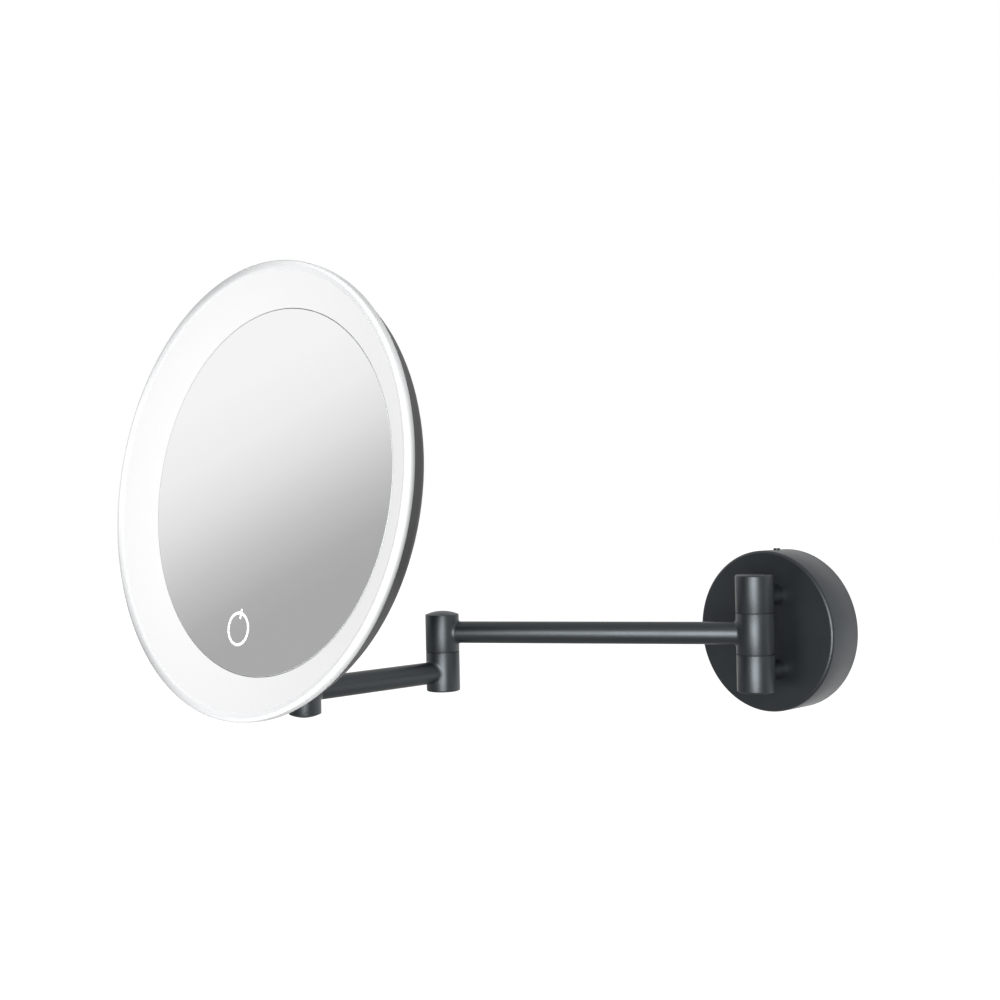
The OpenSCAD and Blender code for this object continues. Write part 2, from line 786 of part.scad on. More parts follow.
module ring_reflector() {
    near = 1.6;
    far = norm([ring_rear_out - ring_rear_in, rim_z + ring_inner_t]) - 4;
    color("white") on_disc() rotate_extrude($fn = 180) polygon([
        behind_ring(near, reflector_gap), behind_ring(far, reflector_gap),
        behind_ring(far, reflector_gap + reflector_t), behind_ring(near, reflector_gap + reflector_t)]);
}

module led_board() {
    color("white") on_disc()
        ring_disc(led_out_r, led_out_r - led_board_w, led_board_z, led_board_z + led_board_t);
}

module leds() {
    low = led_board_z + led_board_t + seat_gap;
    color("#fff6d0") on_disc() for (i = [0 : led_n - 1]) rotate([0, 0, i * 360 / led_n])
        translate([led_out_r - led_w - 0.3, -led_l / 2, low]) cube([led_w, led_l, led_h]);
}

// ---- glass, its carrier and the touch switch ----
module power_mark_shape(low, high) {
    translate([0, -symbol_at, 0]) {
        ring_disc(symbol_r, symbol_r - symbol_line, low, high);
        translate([-symbol_line / 2, symbol_r - symbol_bar / 2, low])
            cube([symbol_line, symbol_bar, high - low]);
    }
}

module mirror_glass() {
    color("#c8cbcc") on_disc() difference() {
        bore(glass_r, -glass_t, 0);
        power_mark_shape(-symbol_depth, 1);
    }
}

module power_mark() { color("white") on_disc() power_mark_shape(-symbol_depth, 0); }

touch_r = symbol_r + 0.8;

module adhesive_pad() {
    color("#d8d8d8") on_disc() difference() {
        bore(carrier_r - 1, pad_z + seat_gap, -glass_t - seat_gap);
        translate([0, -symbol_at, 0]) bore(touch_r + 0.4, pad_z - 1, 0);
    }
}

module carrier_plate() {
    color("white") on_disc() difference() {
        union() {
            bore(carrier_r, carrier_z, pad_z);
            housing_screw_places() bore(screw_r + 2, floor_z + seat_gap, carrier_z + eps);
        }
        translate([0, -symbol_at, 0]) bore(4, carrier_z - 1, pad_z + 1);
        housing_screw_places() bore(screw_r - 0.25, floor_z - 1, carrier_z + carrier_t * 0.7);
    }
}

module touch_pad() {
    color("#c98b4a") on_disc() translate([0, -symbol_at, 0])
        bore(touch_r, pad_z + seat_gap, -glass_t - seat_gap);
}

module touch_contact() {
    color("#8a8f92") on_disc() translate([0, -symbol_at, 0])
        bore(3, board_z + board_t + seat_gap, pad_z);
}

module control_board() {
    color("#2f6b3d") on_disc()
        translate([-board_w / 2, -symbol_at - board_h / 2, board_z]) cube([board_w, board_h, board_t]);
}

module battery_cells() {
    color("#b9bec2") on_disc() for (side = [-1, 1])
        translate([side * cell_side - cell_w / 2, -cell_h / 2 + 8, floor_z + 0.1])
            cube([cell_w, cell_h, cell_t]);
}

port_board_t = 0.8;

module charging_port() {
    color(steel) on_disc() {
        difference() {
            port_opening(0.25, back_z + 0.4, carrier_z - 0.2 - port_board_t);
            port_opening(0, back_z - 1, carrier_z - 1.4 - port_board_t);
        }
        translate([port_x - 8, port_y - 5, carrier_z - 0.2 - port_board_t - eps]) cube([16, 10, port_board_t]);
    }
}

flap_w = 16;
flap_h = 8;
flap_gap = 0.1;
anchor_r = 1.2;
anchor_x = port_x + flap_w / 2 + anchor_r + 1;

module port_flap() {
    color("#1f2123") on_disc() translate([port_x, port_y, 0]) {
        translate([-flap_w / 2, -flap_h / 2, back_z - flap_t - flap_gap]) cube([flap_w, flap_h, flap_t]);
        translate([-(port_w - port_h) / 2, -port_h / 2 + 0.5, back_z - 2 * flap_gap])
            cube([port_w - port_h, port_h - 1, 2]);
    }
}

module flap_anchor() {
    color("#1f2123") on_disc() translate([anchor_x, port_y, 0]) {
        translate([-anchor_r - 0.9, -flap_h / 2, back_z - flap_t - flap_gap])
            cube([2 * anchor_r + 1.8, flap_h, flap_t + flap_gap - seat_gap]);
        bore(anchor_r, back_z - 0.2, floor_z + 0.8);
    }
}

wall_bracket();
rosette_cover();
cover_grub_screw();
stiffener_plate();
post_screws();
upper_post();
lower_post();
upper_wall_knuckle();
lower_wall_knuckle();
wall_hinge_pin();
wall_hinge_washers();
wall_arm_knuckle();
wall_arm_tube();
elbow_upper_barrel();
elbow_cap();
elbow_bolt();
elbow_spring_washer();
elbow_washer();
elbow_lower_barrel();
mirror_arm_tube();
swivel_lower_barrel();
swivel_cap();
swivel_washer();
swivel_bolt();
swivel_spring_washer();
swivel_upper_barrel();
stem_tube();
ball_stud();
ball_seat();
socket_body();
socket_clamp();
clamp_screws();
socket_screws();
rear_housing();
housing_screws();
light_ring();
ring_reflector();
led_board();
leds();
mirror_glass();
power_mark();
adhesive_pad();
carrier_plate();
touch_pad();
touch_contact();
control_board();
battery_cells();
charging_port();
port_flap();
flap_anchor();
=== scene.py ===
"""Extendable shaving mirror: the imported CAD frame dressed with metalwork, acrylic, glass and housing."""

import json
import math

import bmesh
import bpy
from bpy.props import FloatProperty, FloatVectorProperty, IntProperty, PointerProperty
from mathutils import Matrix, Vector


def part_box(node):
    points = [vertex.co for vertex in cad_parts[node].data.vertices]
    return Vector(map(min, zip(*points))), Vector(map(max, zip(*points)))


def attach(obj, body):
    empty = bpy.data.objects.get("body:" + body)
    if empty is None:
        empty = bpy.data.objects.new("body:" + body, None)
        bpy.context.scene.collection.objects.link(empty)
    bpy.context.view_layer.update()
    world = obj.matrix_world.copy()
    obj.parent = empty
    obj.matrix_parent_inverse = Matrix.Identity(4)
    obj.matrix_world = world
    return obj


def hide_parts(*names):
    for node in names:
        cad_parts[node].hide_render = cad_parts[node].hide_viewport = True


bl_info = {
    "name": "Extendable shaving mirror",
    "version": (1, 0, 0),
    "blender": (4, 5, 0),
    "location": "View3D > Sidebar > Shaving mirror",
    "description": "Wall-mounted shaving mirror with a lit acrylic ring on two swinging arms",
    "category": "Add Mesh",
}

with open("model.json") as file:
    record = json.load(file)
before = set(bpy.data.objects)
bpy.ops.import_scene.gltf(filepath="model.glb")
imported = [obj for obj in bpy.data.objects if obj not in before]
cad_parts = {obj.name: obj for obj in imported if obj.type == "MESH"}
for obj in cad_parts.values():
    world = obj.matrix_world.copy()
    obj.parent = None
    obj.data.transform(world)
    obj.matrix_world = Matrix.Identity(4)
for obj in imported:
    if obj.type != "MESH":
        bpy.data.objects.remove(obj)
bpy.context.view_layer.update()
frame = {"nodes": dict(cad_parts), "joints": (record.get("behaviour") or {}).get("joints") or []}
NODES = frame["nodes"]
JOINTS = {joint["name"]: joint for joint in frame["joints"]}

MM = 0.001
FULL_TURN = 2 * math.pi
FIT = 0.02 * MM  # gap between pieces that seat in each other
CAP_INSET = 0.1 * MM  # how much narrower a domed cap is than its barrel
NEAR = 0.05 * MM  # closer than this counts as lying on a plane or a wall
SAME_POINT = 0.002 * MM  # points closer than this are merged


# ---- colours and materials -------------------------------------------------

def linear(hex_colour):
    """sRGB hex such as #2B3032 as linear red, green, blue and alpha."""
    channels = []
    for start in (1, 3, 5):
        value = int(hex_colour[start:start + 2], 16) / 255
        channels.append(value / 12.92 if value <= 0.04045 else ((value + 0.055) / 1.055) ** 2.4)
    return (*channels, 1.0)


def add(tree, kind, links=None, values=None, **settings):
    """Adds a node with its settings, its constant inputs and its links from other sockets."""
    item = tree.nodes.new(kind)
    for name, value in settings.items():
        setattr(item, name, value)
    for key, value in (values or {}).items():
        item.inputs[key].default_value = value
    for key, socket in (links or {}).items():
        tree.links.new(socket, item.inputs[key])
    return item


def empty_material(name):
    material = bpy.data.materials.new(name)
    material.use_nodes = True
    material.node_tree.nodes.clear()
    return material, material.node_tree


def grained(name, base, roughness, metallic=0.0, grain_mm=0.5, grain_height_mm=0.01, patch_mm=14.0,
            tint=0.06, rough_swing=0.05, ior=None):
    """Opaque finish: a base colour that drifts a little, patches of roughness, and a grain in the bump."""
    material, tree = empty_material(name)
    coords = add(tree, "ShaderNodeTexCoord")
    patches = add(tree, "ShaderNodeTexNoise", {"Vector": coords.outputs["Object"]},
                  {"Scale": 1 / (patch_mm * MM), "Detail": 3.0, "Roughness": 0.55})
    grain = add(tree, "ShaderNodeTexNoise", {"Vector": coords.outputs["Object"]},
                {"Scale": 1 / (grain_mm * MM), "Detail": 2.0, "Roughness": 0.5})
    darker = tuple(c * (1 - tint) for c in base[:3]) + (1.0,)
    lighter = tuple(min(1.0, c * (1 + tint)) for c in base[:3]) + (1.0,)
    colour = add(tree, "ShaderNodeMix", {"Factor": patches.outputs["Fac"]}, {"A": darker, "B": lighter},
                 data_type="RGBA")
    # the noise seldom leaves 0.3 to 0.7
    rough = add(tree, "ShaderNodeMapRange", {"Value": patches.outputs["Fac"]},
                {"From Min": 0.3, "From Max": 0.7,
                 "To Min": max(0.0, roughness - rough_swing), "To Max": min(1.0, roughness + rough_swing)})
    bump = add(tree, "ShaderNodeBump", {"Height": grain.outputs["Fac"]},
               {"Strength": 1.0, "Distance": grain_height_mm * MM})
    surface = add(tree, "ShaderNodeBsdfPrincipled",
                  {"Base Color": colour.outputs["Result"], "Roughness": rough.outputs["Result"],
                   "Normal": bump.outputs["Normal"]}, {"Metallic": metallic})
    if ior is not None:
        surface.inputs["IOR"].default_value = ior
    add(tree, "ShaderNodeOutputMaterial", {"Surface": surface.outputs["BSDF"]})
    return material


# ---- modelling helpers -----------------------------------------------------

def outline(points, closed=False):
    """A bmesh that holds a line of edges through (radius, height) points on the XZ plane."""
    bm = bmesh.new()
    verts = [bm.verts.new((radius, 0.0, height)) for radius, height in points]
    for pair in zip(verts, verts[1:] + verts[:1] if closed else verts[1:]):
        bm.edges.new(pair)
    return bm


def arc_on(bm, vert, centre, angle, steps=8):
    """Sweeps a point of the outline about a centre in the XZ plane and gives back the arc's last point."""
    swept = bmesh.ops.spin(bm, geom=[vert], cent=(centre[0], 0.0, centre[1]), axis=(0, 1, 0), angle=angle,
                           steps=steps, use_merge=False, use_duplicate=False)
    return next(item for item in swept["geom_last"] if isinstance(item, bmesh.types.BMVert))


def line_on(bm, vert, points):
    """Runs the outline on from a point through more (radius, height) points."""
    for radius, height in points:
        after = bm.verts.new((radius, 0.0, height))
        bm.edges.new((vert, after))
        vert = after
    return vert


def turn(bm, steps=128):
    """Spins the outline a full turn about Z and closes the solid."""
    bmesh.ops.spin(bm, geom=bm.verts[:] + bm.edges[:], cent=(0, 0, 0), axis=(0, 0, 1),
                   angle=FULL_TURN, steps=steps, use_merge=True, use_duplicate=False)
    bmesh.ops.remove_doubles(bm, verts=bm.verts[:], dist=SAME_POINT)
    bmesh.ops.recalc_face_normals(bm, faces=bm.faces[:])
    return bm


def soften(bm, width, segments=4, sharper_than=25.0, where=None):
    """Rounds the edges that are sharper than an angle, all of them or those whose middle passes a test."""
    limit = math.radians(sharper_than)
    edges = [e for e in bm.edges if len(e.link_faces) == 2 and e.calc_face_angle(0.0) > limit
             and (where is None or where((e.verts[0].co + e.verts[1].co) / 2))]
    if edges:
        bmesh.ops.bevel(bm, geom=edges, offset=width, offset_type="OFFSET", affect="EDGES",
                        segments=segments, profile=0.5, material=-1, clamp_overlap=True)


def moved(bm, matrix):
    bmesh.ops.transform(bm, matrix=matrix, verts=bm.verts[:])
    return bm


def joined(*parts):
    """One bmesh that holds the shells of several."""
    whole = bmesh.new()
    for part in parts:
        mesh = bpy.data.meshes.new("part")
        part.to_mesh(mesh)
        whole.from_mesh(mesh)
        bpy.data.meshes.remove(mesh)
        part.free()
    return whole


def piece(bm, name, materials, body, node, place=None, smooth_below=32.0):
    """Makes the mesh an object in its place, which rides on a body and stands for a CAD node."""
    if place is not None:
        moved(bm, place)
    mesh = bpy.data.meshes.new(name)
    bm.to_mesh(mesh)
    bm.free()
    for polygon in mesh.polygons:
        polygon.use_smooth = True
    mesh.set_sharp_from_angle(angle=math.radians(smooth_below))
    for material in materials:
        mesh.materials.append(material)
    obj = bpy.data.objects.new(name, mesh)
    bpy.context.scene.collection.objects.link(obj)
    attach(obj, body)
    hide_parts(node)


def dress(node, material):
    """Gives a CAD node its finish."""
    mesh = NODES[node].data
    mesh.materials.clear()
    mesh.materials.append(material)


def half_width(node):
    low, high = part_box(node)
    return (high.x - low.x) / 2


def heights(node):
    """Lowest and highest level of a CAD node."""
    low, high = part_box(node)
    return low.z, high.z


def middle_height(node):
    return sum(heights(node)) / 2


def level(point):
    """A point on a hinge's axis, brought down to the rosette's height."""
    return Vector((point[0], point[1], 0.0))


def lying(origin, direction, height):
    """Frame of a tube that lies level: local Z runs along it, and local X points up."""
    up = Vector((0, 0, 1))
    place = Matrix((up, direction.cross(up), direction)).transposed().to_4x4()
    return Matrix.Translation(origin + height * up) @ place


WALL_AXIS = level(JOINTS["wall_swing"]["pos_m"])
ELBOW_AXIS = level(JOINTS["elbow_swing"]["pos_m"])
SWIVEL_AXIS = level(JOINTS["head_swivel"]["pos_m"])
ALONG_ARM_1 = (ELBOW_AXIS - WALL_AXIS).normalized()
ALONG_ARM_2 = (SWIVEL_AXIS - ELBOW_AXIS).normalized()
BALL = Vector(JOINTS["head_roll"]["pos_m"])
FACING = Vector(JOINTS["head_roll"]["axis"]).normalized()
HEAD_UP = -Vector(JOINTS["flap_swing"]["axis"]).normalized()
HEAD_RIGHT = HEAD_UP.cross(FACING)


def at_hinge(axis):
    return Matrix.Translation(axis)


def glass_middle(setback):
    """Middle of the glass front, which lies in front of the ball by the setback."""
    return BALL + FACING * setback


def on_head(setback):
    """Frame of the mirror head: the origin is the middle of the glass front, and Z points at the user."""
    turned = Matrix((HEAD_RIGHT, HEAD_UP, FACING)).transposed().to_4x4()
    return Matrix.Translation(glass_middle(setback)) @ turned


# ---- sizes and colours -----------------------------------------------------

class MetalworkSettings(bpy.types.PropertyGroup):
    rosette_radius: FloatProperty(
        name="Rosette radius", description="Radius of the round wall cover",
        default=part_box("rosette_cover")[1].x, unit="LENGTH")
    rosette_depth: FloatProperty(
        name="Rosette depth", description="Depth of the wall cover",
        default=-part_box("rosette_cover")[0].y, unit="LENGTH")
    rosette_wall: FloatProperty(
        name="Rosette wall", description="Sheet thickness of the wall cover",
        default=2.0 * MM, unit="LENGTH")
    rosette_edge: FloatProperty(
        name="Rosette edge", description="Rounding of the cover's front edge",
        default=1.6 * MM, unit="LENGTH")
    hinge_radius: FloatProperty(
        name="Wall hinge radius", description="Radius of the three wall knuckles",
        default=half_width("upper_wall_knuckle"), unit="LENGTH")
    elbow_radius: FloatProperty(
        name="Elbow radius", description="Radius of the elbow barrels",
        default=half_width("elbow_cap") + CAP_INSET, unit="LENGTH")
    swivel_radius: FloatProperty(
        name="Swivel radius", description="Radius of the barrels under the mirror",
        default=half_width("swivel_upper_barrel"), unit="LENGTH")
    tube_radius: FloatProperty(
        name="Tube radius", description="Outer radius of both arm tubes",
        default=(heights("wall_arm_tube")[1] - heights("wall_arm_tube")[0]) / 2, unit="LENGTH")
    tube_wall: FloatProperty(
        name="Tube wall", description="Wall of both arm tubes", default=1.5 * MM, unit="LENGTH")
    weld_fillet: FloatProperty(
        name="Weld fillet", description="Radius of the fillet where a tube meets a barrel",
        default=1.2 * MM, unit="LENGTH")
    seam_chamfer: FloatProperty(
        name="Seam chamfer", description="Chamfer on each side of a seam between two barrels",
        default=0.15 * MM, unit="LENGTH")
    end_round: FloatProperty(
        name="End rounding", description="Rounding of a barrel's free end",
        default=0.8 * MM, unit="LENGTH")
    cap_rise: FloatProperty(
        name="Cap rise", description="Height of the domed caps", default=1.8 * MM, unit="LENGTH")
    coat_colour: FloatVectorProperty(
        name="Powder coat", description="Colour of the anthracite powder coat", subtype="COLOR", size=4,
        min=0.0, max=1.0, default=linear("#0F1315"))


class HeadSettings(bpy.types.PropertyGroup):
    glass_radius: FloatProperty(
        name="Glass radius", description="Radius of the mirror glass", default=85.7 * MM, unit="LENGTH")
    glass_thickness: FloatProperty(
        name="Glass thickness", description="Thickness of the mirror glass",
        default=4.0 * MM, unit="LENGTH")
    ring_radius: FloatProperty(
        name="Ring radius", description="Outer radius of the acrylic ring",
        default=106.05 * MM, unit="LENGTH")
    ring_rise: FloatProperty(
        name="Ring rise", description="Height of the ring's rim in front of the glass",
        default=11.0 * MM, unit="LENGTH")
    ring_side: FloatProperty(
        name="Ring side", description="Depth of the ring's side at the rim",
        default=4.2 * MM, unit="LENGTH")
    lip_width: FloatProperty(
        name="Clear lip", description="Width of the clear lip round the frosted ring",
        default=4.4 * MM, unit="LENGTH")
    ball_back: FloatProperty(
        name="Ball setback", description="Distance from the glass front back to the ball's centre",
        default=21.5 * MM, unit="LENGTH")
    mark_drop: FloatProperty(
        name="Power mark drop", description="Distance of the power mark below the middle of the glass",
        default=65.5 * MM, unit="LENGTH")
    mark_radius: FloatProperty(
        name="Power mark radius", description="Outer radius of the power mark",
        default=8.0 * MM, unit="LENGTH")
    mark_line: FloatProperty(
        name="Power mark line", description="Line width of the power mark",
        default=1.25 * MM, unit="LENGTH")
    ring_colour: FloatVectorProperty(
        name="Ring", description="Colour of the lit acrylic", subtype="COLOR", size=4,
        min=0.0, max=1.0, default=linear("#7D7D7D"))
    housing_colour: FloatVectorProperty(
        name="Housing", description="Colour of the moulded rear housing", subtype="COLOR", size=4,
        min=0.0, max=1.0, default=linear("#131316"))


class StageSettings(bpy.types.PropertyGroup):
    floor_drop: FloatProperty(
        name="Floor below rosette", description="Height at which the mirror hangs over the floor",
        default=1.3, unit="LENGTH")
    lamp_scale: FloatProperty(
        name="Lamp level", description="Scale on all studio lamps", default=1.0, min=0.0)
    floor_steps: IntProperty(
        name="Floor divisions", description="Divisions of the floor plane", default=8, min=1)


SETTINGS = {
    "mirror_metalwork": MetalworkSettings,
    "mirror_head": HeadSettings,
    "mirror_stage": StageSettings,
}


# ---- finishes --------------------------------------------------------------

def powder_coat():
    # anthracite powder coat, satin, baked on steel: fine orange peel and a cool sheen in its highlights
    coat = bpy.data.materials.get("anthracite_powder_coat")
    if coat is None:
        settings = bpy.context.scene.mirror_metalwork
        coat = grained("anthracite_powder_coat", tuple(settings.coat_colour), 0.41, grain_mm=0.7,
                       grain_height_mm=0.012, patch_mm=22, tint=0.05, rough_swing=0.03, ior=1.75)
        surface = coat.node_tree.nodes["Principled BSDF"]
        surface.inputs["Specular Tint"].default_value = linear("#E8F1F8")
    return coat


def zinc_steel():
    # bright zinc-plated steel, tumbled: soft mottled sheen
    return bpy.data.materials.get("zinc_plated_steel") or grained(
        "zinc_plated_steel", linear("#B9BCBE"), 0.30, metallic=1.0, grain_mm=0.25, grain_height_mm=0.006,
        patch_mm=5, tint=0.05, rough_swing=0.08)


def dark_nylon():
    # graphite-filled nylon, turned: matt and nearly black, so a seam reads as a thin dark line
    return bpy.data.materials.get("graphite_nylon") or grained(
        "graphite_nylon", linear("#141618"), 0.6, grain_mm=0.3, grain_height_mm=0.008, patch_mm=6,
        tint=0.05, rough_swing=0.04, ior=1.53)


def moulded_abs():
    # ABS moulded in a spark-eroded tool: fine even grain, satin
    settings = bpy.context.scene.mirror_head
    return bpy.data.materials.get("spark_grained_abs") or grained(
        "spark_grained_abs", tuple(settings.housing_colour), 0.5, grain_mm=0.6, grain_height_mm=0.02,
        patch_mm=30, tint=0.05, rough_swing=0.04, ior=1.42)


def grey_edge_gap_shade():
    # grey at the glass's ground edge and on the ring's wall beside it: painted shade of the thin gap
    # between glass and ring, partly the grey of a ground mirror edge; half matt
    return bpy.data.materials.get("grey_edge_painted_gap_shade") or grained(
        "grey_edge_painted_gap_shade", linear("#B0B3B5"), 0.35, grain_mm=0.2, grain_height_mm=0.01, patch_mm=8,
        tint=0.05)


def lit_acrylic():
    # opal cast acrylic with light fed in from behind: brightest at the glass, a little softer at the rim,
    # and without a sheen, because its own light outshines what it would mirror
    settings = bpy.context.scene.mirror_head
    material = grained("opal_lit_acrylic", tuple(settings.ring_colour), 0.28, grain_mm=1.5,
                       grain_height_mm=0.003, patch_mm=60, tint=0.003, rough_swing=0.01, ior=1.49)
    tree = material.node_tree
    surface = tree.nodes["Principled BSDF"]
    coords = add(tree, "ShaderNodeTexCoord")
    away = add(tree, "ShaderNodeVectorMath", {0: coords.outputs["Object"]},
               {1: glass_middle(settings.ball_back)}, operation="DISTANCE")
    across = add(tree, "ShaderNodeMapRange", {"Value": away.outputs["Value"]},
                 {"From Min": settings.glass_radius, "From Max": settings.ring_radius},
                 interpolation_type="SMOOTHSTEP")
    glow = add(tree, "ShaderNodeMix", {"Factor": across.outputs["Result"]},
               {"A": linear("#F8F8F8"), "B": linear("#F6F6F6")}, data_type="RGBA")
    tree.links.new(glow.outputs["Result"], surface.inputs["Emission Color"])
    surface.inputs["Emission Strength"].default_value = 0.705
    surface.inputs["Specular IOR Level"].default_value = 0.0
    return material


def clear_acrylic():
    # cast acrylic, flame-polished round its rim: glossy, and it carries a little of the ring's light;
    # it is opaque here, and its shading is painted on by place: painted shade down its wall and on its
    # left
    settings = bpy.context.scene.mirror_head
    material = grained("polished_clear_acrylic", linear("#D6D7D8"), 0.22, grain_mm=3.0,
                       grain_height_mm=0.0005, patch_mm=60, tint=0.003, rough_swing=0.01, ior=1.49)
    tree = material.node_tree
    surface = tree.nodes["Principled BSDF"]
    coords = add(tree, "ShaderNodeTexCoord")
    from_glass = add(tree, "ShaderNodeVectorMath", {0: coords.outputs["Object"]},
                     {1: glass_middle(settings.ball_back)}, operation="SUBTRACT").outputs[0]
    height, sideways, upwards = (
        add(tree, "ShaderNodeVectorMath", {0: from_glass}, {1: way}, operation="DOT_PRODUCT")
        for way in (FACING, HEAD_RIGHT, HEAD_UP))
    along = add(tree, "ShaderNodeVectorMath", {0: from_glass}, {1: FACING}, operation="PROJECT")
    across = add(tree, "ShaderNodeVectorMath", {0: from_glass, 1: along.outputs[0]}, operation="SUBTRACT")
    radius = add(tree, "ShaderNodeVectorMath", {0: across.outputs[0]}, operation="LENGTH")
    off_middle = add(tree, "ShaderNodeMath", {0: upwards.outputs["Value"]}, operation="ABSOLUTE")
    # painted shade: the wall darkens towards the housing, most at the head's middle height, and painted
    # light keeps it lighter at its top and foot
    deepest_painted_shade = add(tree, "ShaderNodeMapRange", {"Value": off_middle.outputs[0]},
                  {"From Min": 0.03, "From Max": 0.085, "To Min": 0.25, "To Max": 0.85})
    # painted shade down the wall, as a share of its colour
    wall = add(tree, "ShaderNodeMapRange",
               {"Value": height.outputs["Value"], "To Min": deepest_painted_shade.outputs["Result"]},
               {"From Min": settings.ring_rise - settings.ring_side,
                "From Max": settings.ring_rise - 1.2 * MM, "To Max": 1.0})
    # painted shade: the rounding darkens into two crescent shapes on the left, the side turned away from
    # the lamps, one above the middle height and one below
    outer = settings.ring_radius
    rounding = add(tree, "ShaderNodeMapRange", {"Value": radius.outputs["Value"]},
                   {"From Min": outer - 4.4 * MM, "From Max": outer - 2.0 * MM,
                    "To Min": 0.0, "To Max": 0.42}, interpolation_type="SMOOTHSTEP")
    on_left = add(tree, "ShaderNodeMapRange", {"Value": sideways.outputs["Value"]},
                  {"From Min": -0.06, "From Max": 0.02, "To Min": 1.0, "To Max": 0.0},
                  interpolation_type="SMOOTHSTEP")
    off_ends = add(tree, "ShaderNodeMapRange", {"Value": off_middle.outputs[0]},
                   {"From Min": 0.02, "From Max": 0.09})
    painted_crescent_mask = add(tree, "ShaderNodeMath", {0: on_left.outputs["Result"], 1: off_ends.outputs["Result"]},
                    operation="MULTIPLY")
    painted_crescent_shade = add(tree, "ShaderNodeMath", {0: rounding.outputs["Result"], 1: painted_crescent_mask.outputs[0]},
               operation="MULTIPLY")
    kept = add(tree, "ShaderNodeMath", {1: painted_crescent_shade.outputs[0]}, {0: 1.0}, operation="SUBTRACT")
    # painted shade of the wall and of the left rounding together
    share = add(tree, "ShaderNodeMath", {0: wall.outputs["Result"], 1: kept.outputs[0]},
                operation="MULTIPLY")
    shaded = add(tree, "ShaderNodeMix", {"A": tree.nodes["Mix"].outputs["Result"], "B": share.outputs[0]},
                 {"Factor": 1.0}, data_type="RGBA", blend_type="MULTIPLY")
    # the painted shade darkens the colour and the faint glow alike
    for socket in ("Base Color", "Emission Color"):
        tree.links.new(shaded.outputs["Result"], surface.inputs[socket])
    surface.inputs["Emission Strength"].default_value = 0.08
    return material


# ---- shapes of the metalwork -----------------------------------------------

def coated(bm, name, body, node, place=None):
    """Makes the mesh a piece of the powder-coated metalwork."""
    piece(bm, name, [powder_coat()], body, node, place)


def barrel(size, radius, points, closed=False, seams=(), ends=()):
    """A turned barrel with chamfers at its seams and rounded free ends."""
    bm = turn(outline(points, closed), 128)

    def on_rim(at):
        return lambda p: math.hypot(p.x, p.y) > 0.97 * radius and abs(p.z - at) < NEAR

    for at in seams:
        soften(bm, size.seam_chamfer, 2, where=on_rim(at))
    for at in ends:
        soften(bm, size.end_round, 5, where=on_rim(at))
    return bm


def blind_barrel(size, radius, bore, floor, seam, end):
    """A barrel whose bore runs from its seam to a floor short of its rounded free end."""
    return barrel(size, radius, [(0, floor), (bore, floor), (bore, seam), (radius, seam), (radius, end),
                                 (0, end)], seams=[seam], ends=[end])


def capped_barrel(size, radius, bore, recess, seam, mouth):
    """A barrel with a bore at its seam, and at its mouth the wider recess for a cap and a bolt's head."""
    recess_depth, mouth_edge = 6.4 * MM, 0.2 * MM
    floor = mouth + math.copysign(recess_depth, seam - mouth)
    bm = barrel(size, radius, [(bore, seam), (radius, seam), (radius, mouth), (recess, mouth),
                               (recess, floor), (bore, floor)], closed=True, seams=[seam])
    soften(bm, mouth_edge, 2, where=lambda p: abs(p.z - mouth) < NEAR)
    return bm


def weld_neck(size, radius):
    """The fillet of a welded tube: turned about the tube, then bent onto a barrel of some radius."""
    reach, fillet = size.tube_radius + size.weld_fillet, size.weld_fillet
    root = -1.6 * MM  # the hidden end, inside the barrel's wall
    bm = bmesh.new()
    rim = line_on(bm, bm.verts.new((0, 0, root)), [(reach, root), (reach, 0)])
    neck = arc_on(bm, rim, (reach, fillet), math.pi / 2, 7)
    line_on(bm, neck, [(0, fillet)])
    turn(bm, 96)
    for vert in bm.verts:
        vert.co.z += math.sqrt(radius ** 2 - vert.co.y ** 2)
    return bm


def welded(bm, size, radius, axis, along, tube_node):
    """Stands a barrel on its hinge's axis and joins the weld of the tube that leaves it."""
    neck = moved(weld_neck(size, radius), lying(axis, along, middle_height(tube_node)))
    return joined(moved(bm, at_hinge(axis)), neck)


def tube(size, length):
    outer, inner = size.tube_radius, size.tube_radius - size.tube_wall
    return turn(outline([(inner, 0), (outer, 0), (outer, length), (inner, length)], True), 96)


def domed_cap(size, barrel_radius, recess):
    """A domed cap for a barrel: it stands on z = 0, and its plug below fits the barrel's recess."""
    radius, rise = barrel_radius - CAP_INSET, size.cap_rise
    plug, plug_depth = recess - FIT, 2.0 * MM
    ball = (radius ** 2 + rise ** 2) / (2 * rise)
    bm = bmesh.new()
    edge = arc_on(bm, bm.verts.new((0, 0, rise)), (0, rise - ball), math.asin(radius / ball), 12)
    line_on(bm, edge, [(radius, -FIT), (plug, -FIT), (plug, -plug_depth), (0, -plug_depth)])
    return turn(bm, 128)


# ---- operators -------------------------------------------------------------

class MIRROR_OT_fixings(bpy.types.Operator):
    """Give the fixings and bearings that stay as they are their finishes"""
    bl_idname = "shaving_mirror.fixings"
    bl_label = "Fixings and bearings"

    def execute(self, context):
        for node in ("wall_bracket", "stiffener_plate", "post_screws", "wall_hinge_pin", "elbow_bolt",
                     "elbow_spring_washer", "swivel_bolt", "swivel_spring_washer", "ball_stud",
                     "clamp_screws", "socket_screws", "housing_screws", "charging_port"):
            dress(node, zinc_steel())
        for node in ("wall_hinge_washers", "elbow_washer", "swivel_washer", "ball_seat"):
            dress(node, dark_nylon())
        for node in ("cover_grub_screw", "upper_post", "lower_post"):
            dress(node, powder_coat())
        return {"FINISHED"}


